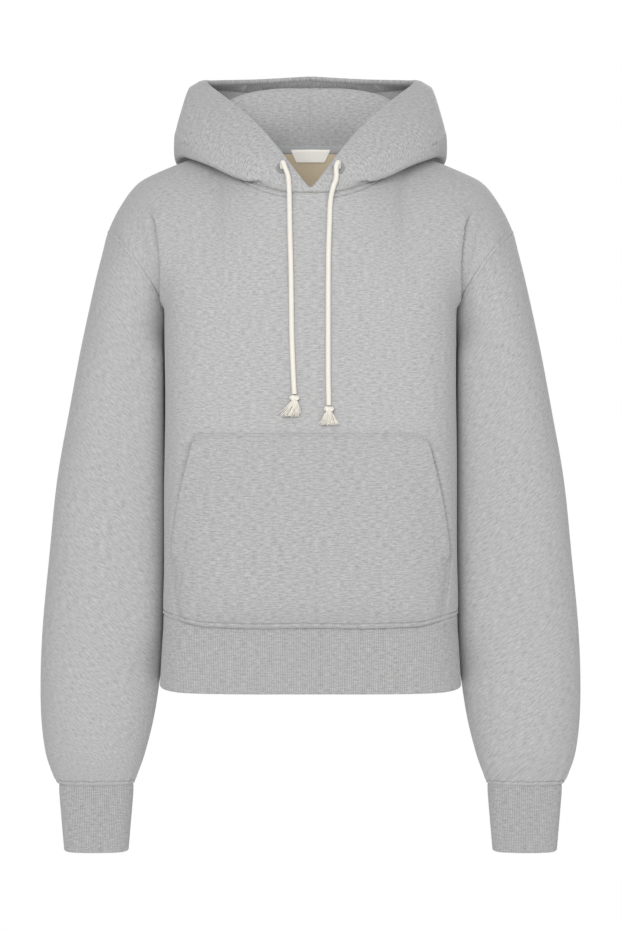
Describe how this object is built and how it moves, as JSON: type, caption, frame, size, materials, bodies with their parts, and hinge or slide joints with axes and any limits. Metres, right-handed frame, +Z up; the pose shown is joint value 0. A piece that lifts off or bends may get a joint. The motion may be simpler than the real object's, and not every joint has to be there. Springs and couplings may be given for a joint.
{
  "type": "pullover hoodie",
  "caption": "Boxy pullover hoodie filled out with no wearer: hood laid open, front pouch pocket, rib hem and cuffs, drawcords with knotted, frayed ends.",
  "frame": {"origin": "on the centre line between the shoulders, level with the neck ends of the shoulder seams, where a wearer's shoulders hold the garment", "axes": "+X to the wearer's left, +Y towards the back, +Z up; the front faces -Y"},
  "size_m": [0.6096, 0.2951, 0.8973],
  "materials": {
    "marl_fleece": "grey marl cotton fleece, soft and matt",
    "hood_lining": "grey marl jersey, matt",
    "rib_knit": "grey marl rib knit, matt",
    "neck_tape": "grey woven tape",
    "neck_patch": "tan jersey, matt",
    "woven_label": "cream satin, slight sheen, bare",
    "eyelet_thread": "grey thread, matt",
    "cotton_cord": "cream cotton, matt"
  },
  "bodies": {
    "root": {"front_panel": "marl_fleece", "back_panel": "marl_fleece", "sleeve_left": "marl_fleece", "sleeve_right": "marl_fleece", "kangaroo_pocket": "marl_fleece", "hood_left": "marl_fleece", "hood_right": "marl_fleece", "hood_lining_left": "hood_lining", "hood_lining_right": "hood_lining", "hem_rib": "rib_knit", "cuff_left": "rib_knit", "cuff_right": "rib_knit", "neck_tape": "neck_tape", "neck_patch": "neck_patch", "neck_label": "woven_label", "eyelet_left": "eyelet_thread", "eyelet_right": "eyelet_thread", "drawcord_left": "cotton_cord", "drawcord_right": "cotton_cord", "tassel_left": "cotton_cord", "tassel_right": "cotton_cord"}
  },
  "joints": []
}
